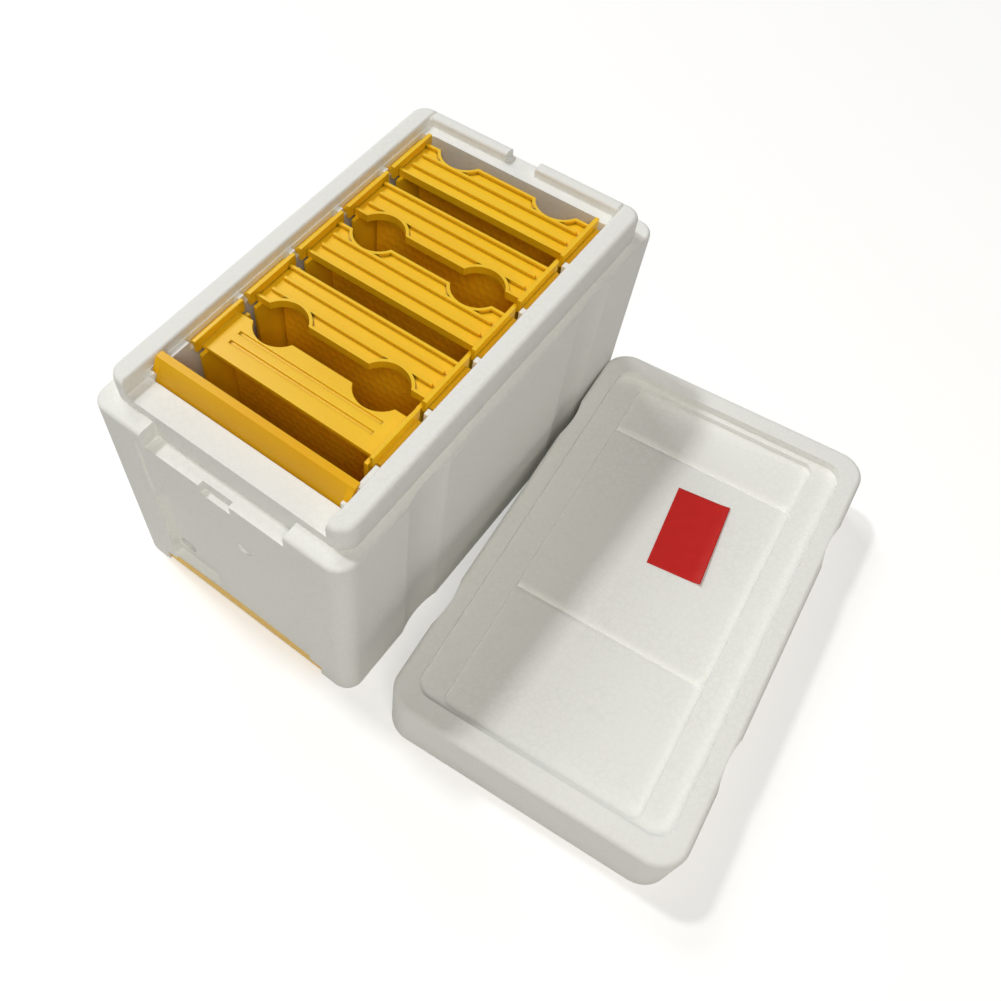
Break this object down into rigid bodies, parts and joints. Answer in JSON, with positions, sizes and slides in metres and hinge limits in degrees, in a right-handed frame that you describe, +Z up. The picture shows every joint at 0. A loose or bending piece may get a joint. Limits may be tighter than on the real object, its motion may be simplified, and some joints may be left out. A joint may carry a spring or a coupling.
{
  "type": "mating nuc box",
  "caption": "Small white foam mating nuc box, open, with amber plastic mini frames, a feeder trough, a sliding floor and its foam lid lying beside it",
  "frame": {"origin": "middle of the underside of the foam box, on the ground", "axes": "+X across the box towards the lid, +Y along the box away from the feeder, +Z up"},
  "size_m": [0.3015, 0.2512, 0.138],
  "materials": {
    "foam": "white moulded polystyrene foam with a fine bead skin",
    "plastic": "amber moulded plastic, satin",
    "label": "plain red film label"
  },
  "bodies": {
    "box": {"hive_body": "foam"},
    "lid": {"lid": "foam", "lid_label": "label"},
    "sliding_floor": {"floor_slide": "plastic"},
    "feeder": {"feeder_trough": "plastic"},
    "frame_1": {"frame_1_top_bar": "plastic", "frame_1_end_bars": "plastic", "frame_1_bottom_bar": "plastic", "frame_1_foundation": "plastic"},
    "frame_2": {"frame_2_top_bar": "plastic", "frame_2_end_bars": "plastic", "frame_2_bottom_bar": "plastic", "frame_2_foundation": "plastic"},
    "frame_3": {"frame_3_top_bar": "plastic", "frame_3_end_bars": "plastic", "frame_3_bottom_bar": "plastic", "frame_3_foundation": "plastic"},
    "frame_4": {"frame_4_top_bar": "plastic", "frame_4_end_bars": "plastic", "frame_4_bottom_bar": "plastic", "frame_4_foundation": "plastic"},
    "frame_5": {"frame_5_top_bar": "plastic", "frame_5_end_bars": "plastic", "frame_5_bottom_bar": "plastic", "frame_5_foundation": "plastic"}
  },
  "joints": [
    {"name": "lid_lift", "type": "slide", "parent": "box", "child": "lid", "axis": [0, 0, 1], "range_m": [0, 0.2]},
    {"name": "floor_pull", "type": "slide", "parent": "box", "child": "sliding_floor", "axis": [0, -1, 0], "range_m": [0, 0.12]},
    {"name": "feeder_lift", "type": "slide", "parent": "box", "child": "feeder", "axis": [0, 0, 1], "range_m": [0, 0.12]},
    {"name": "frame_1_lift", "type": "slide", "parent": "box", "child": "frame_1", "axis": [0, 0, 1], "range_m": [0, 0.13]},
    {"name": "frame_2_lift", "type": "slide", "parent": "box", "child": "frame_2", "axis": [0, 0, 1], "range_m": [0, 0.13]},
    {"name": "frame_3_lift", "type": "slide", "parent": "box", "child": "frame_3", "axis": [0, 0, 1], "range_m": [0, 0.13]},
    {"name": "frame_4_lift", "type": "slide", "parent": "box", "child": "frame_4", "axis": [0, 0, 1], "range_m": [0, 0.13]},
    {"name": "frame_5_lift", "type": "slide", "parent": "box", "child": "frame_5", "axis": [0, 0, 1], "range_m": [0, 0.13]}
  ]
}
